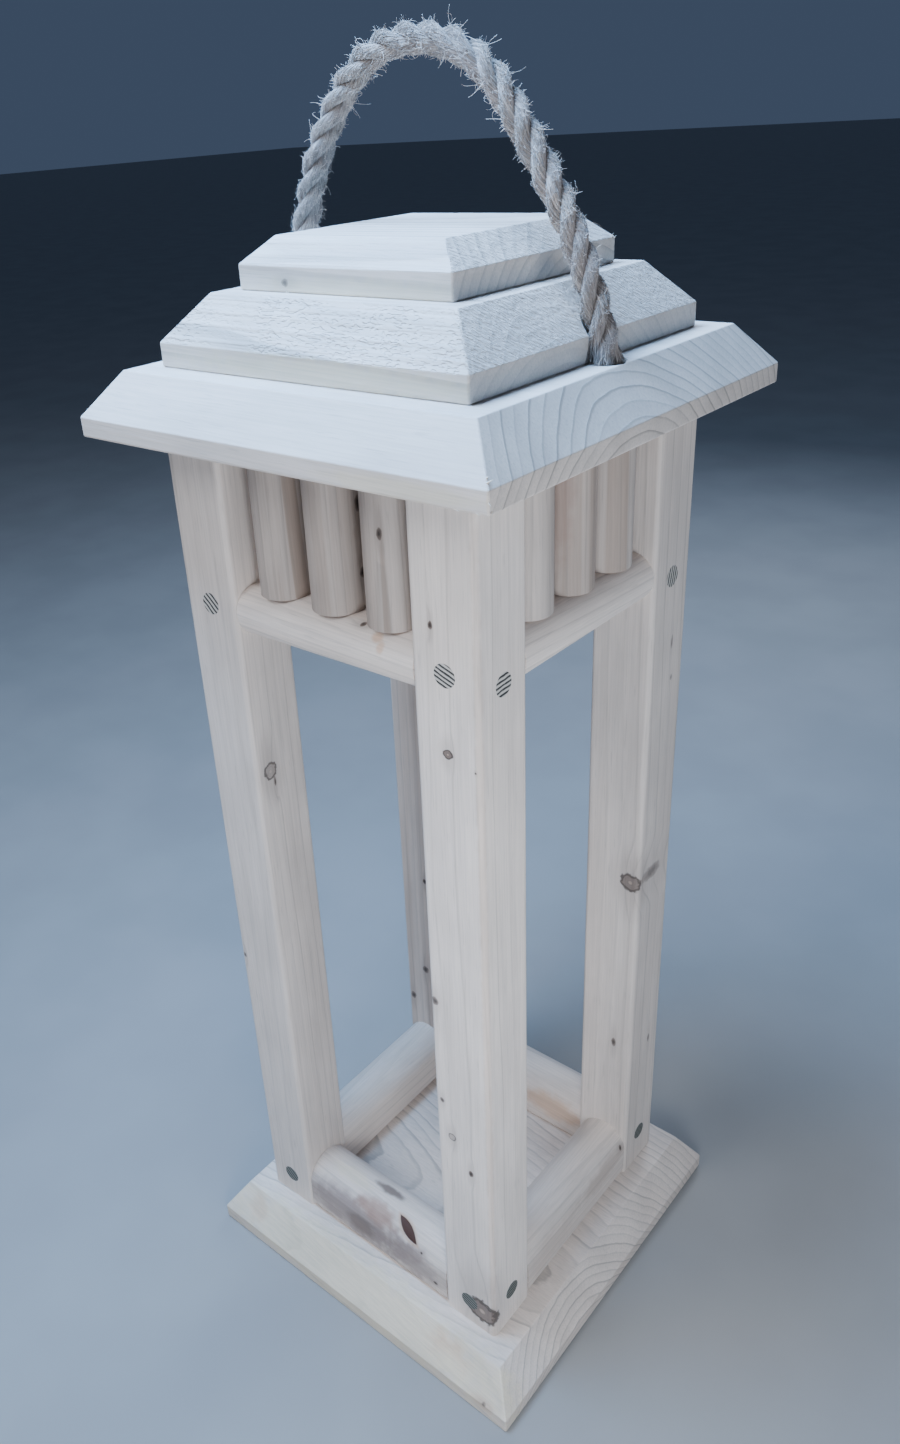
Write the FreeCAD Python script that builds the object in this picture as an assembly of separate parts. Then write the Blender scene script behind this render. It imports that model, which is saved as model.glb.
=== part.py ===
import FreeCAD, Part
import math
import os

# Open-sided pine candle lantern with a three-tier roof and a rope handle.
# Millimetres.  Origin: middle of the base board's underside.  +Z up, -Y is the
# front, +X the right.  The boards' grain and the rope handle both run along X.

# Posts: 2 x 2 planed softwood with rounded arrises
POST = 44.0
POST_OUT = 113.0                 # centre line to a post's outer face
POST_ARRIS = 3.5
POST_MID = POST_OUT - POST / 2
POST_IN = POST_OUT - POST        # half of the clear width between two posts

# Bevelled boards: half width, upright edge, thickness, half width of the flat top
BASE = (145.0, 12.0, 38.0, 128.5)
EAVES = (145.5, 11.5, 36.0, 125.0)
MIDDLE = (109.0, 13.5, 38.0, 86.5)
CAP = (74.5, 13.5, 27.0, 59.0)
BOARD_ARRIS = 1.4

# Heights
EAVES_Z = 670.0                  # underside of the roof
MIDDLE_Z = EAVES_Z + EAVES[2]
CAP_Z = MIDDLE_Z + MIDDLE[2]
BASE_TOP = BASE[2]

# Bull-nosed bars
TOP_RAIL_THICK = 31.0
TOP_RAIL_DEPTH = 40.0
TOP_RAIL_Z = 562.5               # middle of the upper rails
BOTTOM_RAIL_THICK = 39.0
BOTTOM_RAIL_HEIGHT = 46.5
BOTTOM_RAIL_FOOT = 6.0           # rounding of its two lower edges
SLAT_WIDTH = 31.0
SLAT_DEPTH = 36.0
SLATS_A_SIDE = 3
BAR_BACK = 3.0                   # rounding of a bar's back edges
RAIL_SET_BACK = 0.8              # their outer faces behind the posts' faces
RAIL_LENGTH = 2 * POST_IN

# Plugged screws through the posts into the rail ends.  The two that cross
# inside a post sit at different heights.
PLUG_D = 14.0
PLUG_DEPTH = 12.0
PLUG_GAP = 0.05
TOP_SCREW_Z = {"y": 566.0, "x": 558.0}
BOTTOM_SCREW_Z = {"y": 60.0, "x": 68.0}

# Countersunk wood screws
SCREW_D = 5.0
SCREW_HEAD_D = 9.6
SCREW_TIP = 7.0
SCREW_TIP_R = 0.5
SCREW_SINK = 0.5
SCREW_GAP = 0.15
RAIL_SCREW = 60.0
FOOT_SCREW = 60.0
EAVES_SCREW = 80.0
MIDDLE_SCREW = 60.0
CAP_SCREW = 55.0
ROPE_SCREW = 30.0
FOOT_SCREW_AT = POST_MID + 7.0   # clear of the rail screws in the post
MIDDLE_SCREW_AT = 50.0
CAP_SCREW_AT = 30.0

# Three-strand rope handle, in the plane Y = 0
ROPE_D = 16.0
ROPE_FOOT_D = 20.0               # its splayed ends, and their sockets
ROPE_SOCKET = 25.0               # depth of the socket in the eaves board
ROPE_FLARE = 12.0                # height over which a foot spreads
ROPE_GAP = 0.3
ROPE_END_Z = MIDDLE_Z - ROPE_SOCKET
ROPE_HALF = [(115.0, ROPE_END_Z), (115.0, 712.0), (98.0, 757.0), (74.5, 805.0), (42.5, 847.5)]
ROPE_APEX = (0.0, 862.5)
ARC_REACH = 0.45                 # share of the shorter run on each side of an arc
SWING_Z = CAP_Z + 4.0            # the handle bends over at this height
SWING_CLEAR = 6.6                # free height between a foot and the arch

FAR = 400.0
SIDES = {"front": -90, "right": 0, "back": 90, "left": 180}
CORNERS = {
    "front_right": (1, -1),
    "back_right": (1, 1),
    "back_left": (-1, 1),
    "front_left": (-1, -1),
}
Z_AXIS = FreeCAD.Vector(0, 0, 1)


def vec(x, y, z):
    return FreeCAD.Vector(x, y, z)


def write(name, shape):
    """One STEP file for one node."""
    shape.exportStep(os.path.join("parts", name + ".step"))


def turned(shape, degrees):
    """A copy turned about the lantern's upright axis."""
    copy = shape.copy()
    copy.rotate(vec(0, 0, 0), Z_AXIS, degrees)
    return copy


def placed(shape, position, rotation):
    copy = shape.copy()
    copy.Placement = FreeCAD.Placement(position, rotation)
    return copy


def cut(shape, tools):
    for tool in tools:
        shape = shape.cut(tool)
    return shape


# ---------------------------------------------------------------- timber

def bevelled_board(size, bottom):
    """A square board: upright edges, then a flat bevel up to its top."""
    half, edge, thick, flat = size
    outline = [(-half, 0), (half, 0), (half, edge), (flat, thick), (-flat, thick), (-half, edge)]
    wire = Part.makePolygon([vec(x, -half, z) for x, z in outline + outline[:1]])
    along_y = Part.Face(wire).extrude(vec(0, 2 * half, 0))
    board = along_y.common(turned(along_y, 90))
    board = board.makeFillet(BOARD_ARRIS, board.Edges)
    board.translate(vec(0, 0, bottom))
    return board


def bullnose_bar(depth, thick, back, length):
    """A bar along Z whose +X edge is fully rounded; its back is at X = 0."""
    half = thick / 2
    turn = back * (1 - math.sqrt(0.5))
    start = vec(back, -half, 0)
    nose_start = vec(depth - half, -half, 0)
    nose_end = vec(depth - half, half, 0)
    top_back = vec(back, half, 0)
    back_top = vec(0, half - back, 0)
    back_low = vec(0, back - half, 0)
    edges = [
        Part.makeLine(start, nose_start),
        Part.Arc(nose_start, vec(depth, 0, 0), nose_end).toShape(),
        Part.makeLine(nose_end, top_back),
        Part.Arc(top_back, vec(turn, half - turn, 0), back_top).toShape(),
        Part.makeLine(back_top, back_low),
        Part.Arc(back_low, vec(turn, turn - half, 0), start).toShape(),
    ]
    return Part.Face(Part.Wire(edges)).extrude(vec(0, 0, length))


def post(corner):
    """One corner post, rounded along its four arrises."""
    x, y = corner
    shape = Part.makeBox(POST, POST, EAVES_Z - BASE_TOP)
    upright = [e for e in shape.Edges if e.Length > 2 * POST]
    shape = shape.makeFillet(POST_ARRIS, upright)
    shape.translate(vec(x * POST_MID - POST / 2, y * POST_MID - POST / 2, BASE_TOP))
    return shape


def bottom_rail():
    """The right-hand lower rail: on edge, its rounded edge up."""
    bar = bullnose_bar(BOTTOM_RAIL_HEIGHT, BOTTOM_RAIL_THICK, BOTTOM_RAIL_FOOT, RAIL_LENGTH)
    upended = FreeCAD.Rotation(vec(1, 1, 1), 240)
    middle = POST_OUT - RAIL_SET_BACK - BOTTOM_RAIL_THICK / 2
    return placed(bar, vec(middle, -POST_IN, BASE_TOP), upended)


def top_rail():
    """The right-hand upper rail: flat, its rounded edge outwards."""
    bar = bullnose_bar(TOP_RAIL_DEPTH, TOP_RAIL_THICK, BAR_BACK, RAIL_LENGTH)
    laid = FreeCAD.Rotation(vec(1, 0, 0), -90)
    back = POST_OUT - RAIL_SET_BACK - TOP_RAIL_DEPTH
    return placed(bar, vec(back, -POST_IN, TOP_RAIL_Z), laid)


def slat(number):
    """A slat of the right-hand side, between the upper rail and the roof."""
    foot = TOP_RAIL_Z + TOP_RAIL_THICK / 2
    gap = (RAIL_LENGTH - SLATS_A_SIDE * SLAT_WIDTH) / (SLATS_A_SIDE + 1)
    y = -POST_IN + gap + SLAT_WIDTH / 2 + number * (gap + SLAT_WIDTH)
    bar = bullnose_bar(SLAT_DEPTH, SLAT_WIDTH, BAR_BACK, EAVES_Z - foot)
    bar.translate(vec(POST_OUT - TOP_RAIL_DEPTH, y, foot))
    return bar


# ------------------------------------------------------------- fasteners

def screw(length, head, direction, gap=0.0):
    """A countersunk screw; head is the middle of its flat top."""
    shank = SCREW_D / 2 + gap
    top = SCREW_HEAD_D / 2 + gap
    cone = top - shank
    lead = length - SCREW_TIP
    tip = SCREW_TIP_R + gap
    profile = [(0, 0), (top, 0), (shank, cone), (shank, lead), (tip, length + gap), (0, length + gap)]
    wire = Part.makePolygon([vec(r, 0, z) for r, z in profile + profile[:1]])
    shape = Part.Face(wire).revolve(vec(0, 0, 0), Z_AXIS, 360)
    return placed(shape, head, FreeCAD.Rotation(Z_AXIS, direction))


def screw_pair(length, surface, direction):
    """A screw sunk just below a surface, and the hole that it makes in the wood."""
    head = surface + direction * SCREW_SINK
    recess = Part.makeCylinder(SCREW_HEAD_D / 2 + SCREW_GAP, SCREW_SINK, surface, direction)
    hole = screw(length, head, direction, SCREW_GAP).fuse(recess)
    return screw(length, head, direction), hole


def plug_pair(face, direction):
    """A wood plug flush with a post's face, and the bore that it fills."""
    plug = Part.makeCylinder(PLUG_D / 2, PLUG_DEPTH - PLUG_GAP, face, direction)
    bore = Part.makeCylinder(PLUG_D / 2 + PLUG_GAP, PLUG_DEPTH, face, direction)
    return plug, bore


def post_fixings(corner):
    """Plugs and rail screws of one post: two heights on its two outer faces."""
    x, y = corner
    plugs, screws, holes = [], [], []
    for heights in (TOP_SCREW_Z, BOTTOM_SCREW_Z):
        faces = [
            (vec(x * POST_MID, y * POST_OUT, heights["y"]), vec(0, -y, 0)),
            (vec(x * POST_OUT, y * POST_MID, heights["x"]), vec(-x, 0, 0)),
        ]
        for face, inward in faces:
            plug, bore = plug_pair(face, inward)
            part, hole = screw_pair(RAIL_SCREW, face + inward * PLUG_DEPTH, inward)
            plugs.append(plug)
            screws.append(part)
            holes += [bore, hole]
    return plugs, screws, holes


def four_screws(length, at, height, direction):
    """Four upright screws at the corners of a square, driven in at one height."""
    pairs = [screw_pair(length, vec(x * at, y * at, height), direction) for x, y in CORNERS.values()]
    return [p[0] for p in pairs], [p[1] for p in pairs]


# ------------------------------------------------------------------ rope

def route_points():
    left = [(-x, z) for x, z in reversed(ROPE_HALF)]
    return [vec(x, 0, z) for x, z in ROPE_HALF + [ROPE_APEX] + left]


def tangent_path(points):
    """Straight runs joined by tangent arcs; prints each arc's radius."""
    runs = [(b - a).Length for a, b in zip(points, points[1:])]
    edges, radii = [], []
    start = points[0]
    for before, corner, after, run_in, run_out in zip(points, points[1:], points[2:], runs, runs[1:]):
        into = (corner - before).normalize()
        out = (after - corner).normalize()
        half_turn = into.getAngle(out) / 2
        reach = ARC_REACH * min(run_in, run_out)
        radius = reach / math.tan(half_turn)
        first = corner - into * reach
        last = corner + out * reach
        inward = (out - into).normalize()
        middle = corner + inward * (radius / math.cos(half_turn) - radius)
        edges += [Part.makeLine(start, first), Part.Arc(first, middle, last).toShape()]
        radii.append(round(radius, 1))
        start = last
    edges.append(Part.makeLine(start, points[-1]))
    print("rope arc radii", radii)
    return Part.Wire(edges)


def rope_tube(path, diameter):
    ring = Part.Wire(Part.makeCircle(diameter / 2, path.OrderedVertexes[0].Point, Z_AXIS))
    return path.makePipeShell([ring], True, True)


def rope_crossing(path, height):
    """Where the rope's middle line passes a height, on the right-hand side."""
    below = Part.makeBox(FAR, FAR, height, vec(0, -FAR / 2, 0))
    leg = path.common(below)
    return max((v.Point for v in leg.Vertexes), key=lambda point: point.z)


def rope_foot(tube, joint):
    """The right-hand end: splayed in its socket, and a round top to bend over."""
    x = ROPE_HALF[0][0]
    below = Part.makeBox(FAR, FAR, joint.z, vec(0, -FAR / 2, 0))
    leg = tube.common(below)
    radius = ROPE_FOOT_D / 2 - ROPE_GAP
    splay = Part.makeCylinder(radius, ROPE_SOCKET, vec(x, 0, ROPE_END_Z))
    flare = Part.makeCone(radius, ROPE_D / 2, ROPE_FLARE, vec(x, 0, MIDDLE_Z))
    top = Part.makeSphere(ROPE_D / 2, joint)
    return leg.fuse([splay, flare, top]).removeSplitter()


def rope_arch(tube, joint):
    """The part of the rope that swings over, hollowed to clear both feet."""
    above = Part.makeBox(2 * FAR, FAR, FAR, vec(-FAR, -FAR / 2, joint.z + SWING_CLEAR))
    balls = [Part.makeSphere(ROPE_D / 2 + ROPE_GAP, vec(s * joint.x, 0, joint.z)) for s in (1, -1)]
    return cut(tube.common(above), balls)


def rope_spaces(path):
    """Sockets in the eaves board, and the grooves in the middle tier's sides."""
    socket = Part.makeCylinder(ROPE_FOOT_D / 2, FAR, vec(ROPE_HALF[0][0], 0, ROPE_END_Z))
    return [socket, turned(socket, 180), rope_tube(path, ROPE_D + 2 * ROPE_GAP)]


# -------------------------------------------------------------- assembly

def build_rope():
    """The rope's three solids and end screws; returns its spaces and screw holes."""
    path = tangent_path(route_points())
    tube = rope_tube(path, ROPE_D)
    section = math.pi * ROPE_D ** 2 / 4
    print("rope length", round(path.Length, 1), "volume / (section x length)",
          round(tube.Volume / (section * path.Length), 4))
    joint = rope_crossing(path, SWING_Z)
    print("handle swings about X at z", round(joint.z, 3), "feet at x", round(joint.x, 3))
    end = vec(ROPE_HALF[0][0], 0, EAVES_Z)
    end_screw, end_hole = screw_pair(ROPE_SCREW, end, Z_AXIS)
    foot = rope_foot(tube, joint).cut(end_hole)
    write("rope_foot_right", foot)
    write("rope_foot_left", turned(foot, 180))
    write("rope_handle", rope_arch(tube, joint))
    write("rope_screws", Part.makeCompound([end_screw, turned(end_screw, 180)]))
    return rope_spaces(path), [end_hole, turned(end_hole, 180)]


def build_roof(spaces, rope_holes):
    """Three stacked boards; returns the holes that run down into the posts."""
    post_screws, post_holes = four_screws(EAVES_SCREW, POST_MID, MIDDLE_Z, -Z_AXIS)
    middle_screws, middle_holes = four_screws(MIDDLE_SCREW, MIDDLE_SCREW_AT, EAVES_Z, Z_AXIS)
    cap_screws, cap_holes = four_screws(CAP_SCREW, CAP_SCREW_AT, MIDDLE_Z, Z_AXIS)
    eaves = bevelled_board(EAVES, EAVES_Z)
    middle = bevelled_board(MIDDLE, MIDDLE_Z)
    cap = bevelled_board(CAP, CAP_Z)
    write("roof_eaves", cut(eaves, spaces + rope_holes + post_holes + middle_holes))
    write("roof_middle_tier", cut(middle, spaces + middle_holes + cap_holes))
    write("roof_cap_tier", cut(cap, cap_holes))
    write("eaves_screws", Part.makeCompound(post_screws))
    write("middle_tier_screws", Part.makeCompound(middle_screws))
    write("cap_tier_screws", Part.makeCompound(cap_screws))
    return post_holes


def build_base():
    """The base board and the screws up into the posts; returns their holes."""
    screws, holes = four_screws(FOOT_SCREW, FOOT_SCREW_AT, 0, Z_AXIS)
    write("base_board", cut(bevelled_board(BASE, 0), holes))
    write("base_screws", Part.makeCompound(screws))
    return holes


def build_frame(end_holes):
    """Posts with their plugs and screws, rails and slats on all four sides."""
    rail_screws, rail_holes = [], []
    for name, corner in CORNERS.items():
        plugs, screws, holes = post_fixings(corner)
        write("post_" + name, cut(post(corner), holes + end_holes))
        write("plugs_" + name, Part.makeCompound(plugs))
        rail_screws += screws
        rail_holes += holes
    write("rail_screws", Part.makeCompound(rail_screws))
    for side, degrees in SIDES.items():
        write("bottom_rail_" + side, cut(turned(bottom_rail(), degrees), rail_holes + end_holes))
        write("top_rail_" + side, cut(turned(top_rail(), degrees), rail_holes))
        for number in range(SLATS_A_SIDE):
            write("slat_%s_%d" % (side, number + 1), turned(slat(number), degrees))


def main():
    os.makedirs("parts", exist_ok=True)
    spaces, rope_holes = build_rope()
    roof_holes = build_roof(spaces, rope_holes)
    base_holes = build_base()
    build_frame(roof_holes + base_holes)


main()
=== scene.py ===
import math

import bpy
import numpy as np
from mathutils import Matrix, Vector


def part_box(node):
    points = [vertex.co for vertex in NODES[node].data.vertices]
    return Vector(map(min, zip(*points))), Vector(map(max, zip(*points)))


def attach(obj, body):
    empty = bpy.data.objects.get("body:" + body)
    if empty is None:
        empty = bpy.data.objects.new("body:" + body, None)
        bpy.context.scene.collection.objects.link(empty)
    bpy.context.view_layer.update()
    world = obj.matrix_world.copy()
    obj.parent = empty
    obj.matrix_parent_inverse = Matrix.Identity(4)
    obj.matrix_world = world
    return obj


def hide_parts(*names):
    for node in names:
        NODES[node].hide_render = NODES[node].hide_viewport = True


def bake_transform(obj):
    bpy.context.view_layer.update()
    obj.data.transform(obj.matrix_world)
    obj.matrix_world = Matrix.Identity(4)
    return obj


# Looks of the open-sided pine candle lantern: rope handle, timber, light, floor
# and camera.  Metres.  The boards' grain runs along X, the posts' along Z.

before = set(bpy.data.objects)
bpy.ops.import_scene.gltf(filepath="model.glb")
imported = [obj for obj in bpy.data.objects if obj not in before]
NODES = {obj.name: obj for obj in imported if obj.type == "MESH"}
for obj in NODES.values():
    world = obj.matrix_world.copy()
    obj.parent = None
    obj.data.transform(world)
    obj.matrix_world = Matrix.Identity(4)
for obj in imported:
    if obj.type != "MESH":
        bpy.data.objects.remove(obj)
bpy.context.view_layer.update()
MM = 0.001

# Camera
AZIMUTH = 42.517
ELEVATION = 27.635
ROLL = -3.949
TARGET = Vector((-0.0562, 0.0, 0.4542))
DISTANCE = 0.80096
LENS = 28.217
SHIFT = (0.0455, -0.0098)

# Rope: the CAD tube's route, its left side a little fuller than its right
ROPE_ROUTE = [
    (0.115, 0.681), (0.115, 0.712), (0.0995, 0.758), (0.073, 0.803), (0.041, 0.848), (0.0, 0.862),
    (-0.042, 0.854), (-0.079, 0.809), (-0.0965, 0.757), (-0.115, 0.712), (-0.115, 0.681),
]
ROPE_LAY = 0.050                 # one turn of a strand
YARN_LAY = 0.056                 # one turn of a yarn in its strand, the other way
STRANDS = 3
STRAND_OFFSET = 0.0038           # rope's middle to a strand's middle
YARN_OFFSET = 0.0030             # strand's middle to a yarn's middle
YARN_RADIUS = 0.00078
YARNS = 16
SPLAY = 0.22                     # how much wider the rope is at its two feet
EAVES_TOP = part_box("roof_eaves")[1].z

rng = np.random.default_rng(11)


# ---------------------------------------------------------------- camera

def make_camera():
    azimuth, elevation, roll = (math.radians(a) for a in (AZIMUTH, ELEVATION, ROLL))
    right = Vector((math.cos(azimuth), math.sin(azimuth), 0))
    level = math.cos(elevation)
    back = Vector((math.sin(azimuth) * level, -math.cos(azimuth) * level, math.sin(elevation)))
    up = back.cross(right)
    x_axis = math.cos(roll) * right + math.sin(roll) * up
    y_axis = math.cos(roll) * up - math.sin(roll) * right
    data = bpy.data.cameras.new("camera")
    data.lens = LENS
    data.sensor_width = 36
    data.shift_x, data.shift_y = SHIFT
    camera = bpy.data.objects.new("camera", data)
    turn = Matrix((x_axis, y_axis, back)).transposed()
    camera.matrix_world = Matrix.Translation(TARGET + back * DISTANCE) @ turn.to_4x4()
    bpy.context.collection.objects.link(camera)
    bpy.context.scene.camera = camera


# ------------------------------------------------------------ mesh tools

def smoothstep(low, high, value):
    share = np.clip((value - low) / (high - low), 0, 1)
    return share * share * (3 - 2 * share)


def unit(vectors):
    return vectors / np.linalg.norm(vectors, axis=-1, keepdims=True)


# How fine the fibres of a tube are, across it and along it
GRAIN_ACROSS = 3500
GRAIN_ALONG = 90


class Tubes:
    """Many thin round tubes gathered into one mesh."""

    def __init__(self):
        self.points, self.faces, self.grain, self.shade = [], [], [], []
        self.count = 0

    def add(self, paths, radius, sides, shade):
        """Tubes along the given paths, one path a row; one shade for each tube."""
        tubes, number = paths.shape[:2]
        tangent = unit(np.gradient(paths, axis=1))
        first = unit(np.cross(tangent, (0.31, 0.93, 0.19)))
        second = np.cross(tangent, first)
        angles = np.arange(sides) * 2 * np.pi / sides
        ring = np.cos(angles)[:, None] * first[:, :, None] + np.sin(angles)[:, None] * second[:, :, None]
        radius = np.broadcast_to(radius, (tubes, number))[:, :, None]
        self.points.append((paths[:, :, None] + ring * radius[..., None]).reshape(-1, 3))
        pieces = np.linalg.norm(np.diff(paths, axis=1), axis=2)
        along = np.concatenate([np.zeros((tubes, 1)), np.cumsum(pieces, axis=1)], axis=1)
        local = np.empty((tubes, number, sides, 3))
        local[..., 0] = np.cos(angles) * radius * GRAIN_ACROSS
        local[..., 1] = np.sin(angles) * radius * GRAIN_ACROSS
        local[..., 2] = along[:, :, None] * GRAIN_ALONG
        self.grain.append((local + rng.uniform(0, 50, (tubes, 1, 1, 3))).reshape(-1, 3))
        self.shade.append(np.repeat(shade, number * sides))
        index = self.count + np.arange(tubes * number * sides).reshape(tubes, number, sides)
        beside = np.roll(index, -1, axis=2)
        quads = np.stack([index[:, :-1], beside[:, :-1], beside[:, 1:], index[:, 1:]], axis=-1)
        self.faces.extend(quads.reshape(-1, 4).tolist())
        self.faces.extend(index[:, 0, ::-1].tolist())
        self.faces.extend(index[:, -1].tolist())
        self.count += tubes * number * sides

    def build(self, name, material):
        mesh = bpy.data.meshes.new(name)
        mesh.from_pydata(np.concatenate(self.points).tolist(), [], self.faces)
        mesh.shade_smooth()
        grain = mesh.attributes.new("grain", "FLOAT_VECTOR", "POINT")
        grain.data.foreach_set("vector", np.concatenate(self.grain).astype(np.float32).ravel())
        shade = mesh.attributes.new("shade", "FLOAT", "POINT")
        shade.data.foreach_set("value", np.concatenate(self.shade).astype(np.float32))
        mesh.materials.append(material)
        piece = bpy.data.objects.new(name, mesh)
        bpy.context.collection.objects.link(piece)
        return piece


# ------------------------------------------------------------ node tools

class Graph:
    """Short calls that add shader nodes to one tree and join them up."""

    def __init__(self, tree):
        self.tree = tree

    def add(self, kind, inputs=None, **settings):
        node = self.tree.nodes.new(kind)
        for name, value in settings.items():
            setattr(node, name, value)
        for name, value in (inputs or {}).items():
            self.feed(node.inputs[name], value)
        return node

    def feed(self, socket, value):
        if isinstance(value, bpy.types.NodeSocket):
            self.tree.links.new(value, socket)
        else:
            socket.default_value = value

    def maths(self, operation, *values):
        node = self.tree.nodes.new("ShaderNodeMath")
        node.operation = operation
        for socket, value in zip(node.inputs, values):
            self.feed(socket, value)
        return node.outputs[0]

    def vector(self, operation, *values):
        node = self.tree.nodes.new("ShaderNodeVectorMath")
        node.operation = operation
        for socket, value in zip(node.inputs, values):
            self.feed(socket, value)
        return node.outputs["Value" if operation in ("LENGTH", "DOT_PRODUCT") else "Vector"]

    def split(self, vector):
        return self.add("ShaderNodeSeparateXYZ", {"Vector": vector}).outputs[:]

    def join(self, x, y, z):
        return self.add("ShaderNodeCombineXYZ", {"X": x, "Y": y, "Z": z}).outputs[0]

    def step(self, value, low, high, start=0.0, end=1.0):
        """Smooth change from start to end as value goes from low to high."""
        inputs = {"Value": value, "From Min": low, "From Max": high, "To Min": start, "To Max": end}
        return self.add("ShaderNodeMapRange", inputs, interpolation_type="SMOOTHSTEP").outputs[0]

    def noise(self, vector, scale=1.0, detail=2.0, roughness=0.5, output="Factor"):
        inputs = {"Vector": vector, "Scale": scale, "Detail": detail, "Roughness": roughness}
        node = self.add("ShaderNodeTexNoise", inputs)
        return node.outputs[0 if output == "Factor" else 1]

    def blend(self, factor, first, second, mode="MIX"):
        node = self.tree.nodes.new("ShaderNodeMix")
        node.data_type = "RGBA"
        node.blend_type = mode
        self.feed(node.inputs[0], factor)
        self.feed(node.inputs[6], first)
        self.feed(node.inputs[7], second)
        return node.outputs[2]

    def group(self, tree, inputs):
        node = self.tree.nodes.new("ShaderNodeGroup")
        node.node_tree = tree
        for name, value in inputs.items():
            self.feed(node.inputs[name], value)
        return node.outputs


def new_group(name, inputs, outputs):
    """A node group with named sockets; gives its graph, its inputs and its outputs."""
    tree = bpy.data.node_groups.new(name, "ShaderNodeTree")
    for socket, kind in inputs.items():
        tree.interface.new_socket(socket, in_out="INPUT", socket_type="NodeSocket" + kind)
    for socket, kind in outputs.items():
        tree.interface.new_socket(socket, in_out="OUTPUT", socket_type="NodeSocket" + kind)
    source = tree.nodes.new("NodeGroupInput")
    result = tree.nodes.new("NodeGroupOutput")
    return tree, Graph(tree), source.outputs, result.inputs


def new_material(name):
    material = bpy.data.materials.new(name)
    material.use_nodes = True
    graph = Graph(material.node_tree)
    return material, graph, material.node_tree.nodes["Principled BSDF"]


def colour(red, green, blue):
    return (red, green, blue, 1.0)


# ---------------------------------------------------------------- timber

EARLYWOOD = colour(0.80, 0.705, 0.63)
LATEWOOD = colour(0.36, 0.315, 0.275)
PINKISH = colour(0.64, 0.49, 0.39)
HEARTWOOD = colour(0.44, 0.32, 0.245)
REDDISH = colour(0.42, 0.26, 0.20)
PURPLE_BROWN = colour(0.30, 0.225, 0.21)
ORANGE = colour(0.66, 0.44, 0.30)
CREAM = colour(0.80, 0.69, 0.51)
KNOT_BROWN = colour(0.17, 0.120, 0.095)
KNOT_DARK = colour(0.040, 0.030, 0.025)
SPLIT_RED = colour(0.060, 0.022, 0.016)


def growth_group():
    """Growth rings and fibres of a log that lies along X, its pith at Y = Z = 0."""
    inputs = {"Log": "Vector", "Spacing": "Float", "Bulge": "Float", "Waver": "Float", "Figure": "Vector",
              "Sharp": "Float"}
    outputs = {"Late": "Float", "Fibre": "Float", "Broad": "Float", "Band": "Float", "Fleck": "Float"}
    tree, graph, source, result = new_group("growth", inputs, outputs)
    log = source["Log"]
    half = (0.5, 0.5, 0.5)
    slow = graph.noise(graph.vector("MULTIPLY", log, (2.4, 9, 9)), output="Color")
    slow = graph.vector("SUBTRACT", slow, half)
    fine = graph.noise(graph.vector("MULTIPLY", log, source["Figure"]), output="Color")
    fine = graph.vector("SUBTRACT", fine, half)
    waver = graph.join(0.0, source["Waver"], source["Waver"])
    shifted = graph.vector("ADD", log, graph.vector("MULTIPLY", slow, (0, 0.014, 0.014)))
    shifted = graph.vector("ADD", shifted, graph.vector("MULTIPLY", fine, waver))
    radius = graph.vector("LENGTH", graph.vector("MULTIPLY", shifted, (0, 1, 1)))
    turns = graph.maths("DIVIDE", graph.maths("ADD", radius, source["Bulge"]), source["Spacing"])
    share = graph.maths("FRACT", turns)
    rise = graph.step(share, source["Sharp"], 0.93)
    line = graph.maths("MULTIPLY", rise, graph.step(share, 0.95, 1.0, 1.0, 0.0))
    gentle = graph.step(share, 0.0, 0.9, 0.0, 0.22)
    varied = graph.add("ShaderNodeTexWhiteNoise", {"W": graph.maths("FLOOR", turns)}, noise_dimensions="1D")
    strength = graph.step(varied.outputs["Value"], 0.0, 1.0, 0.45, 1.0)
    late = graph.maths("MAXIMUM", graph.maths("MULTIPLY", line, strength), gentle)
    graph.feed(result["Late"], late)
    streaks = graph.vector("MULTIPLY", log, (16, 800, 800))
    graph.feed(result["Fibre"], graph.noise(streaks, detail=3.0, roughness=0.6))
    graph.feed(result["Broad"], graph.noise(graph.vector("MULTIPLY", log, (3, 22, 22)), detail=3.0))
    band = graph.noise(graph.vector("MULTIPLY", shifted, (0.9, 75, 75)), detail=1.0)
    graph.feed(result["Band"], graph.step(band, 0.49, 0.56))
    fleck = graph.noise(graph.vector("MULTIPLY", log, (55, 1000, 1000)), detail=0.0)
    graph.feed(result["Fleck"], graph.step(fleck, 0.68, 0.80))
    return tree


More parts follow.
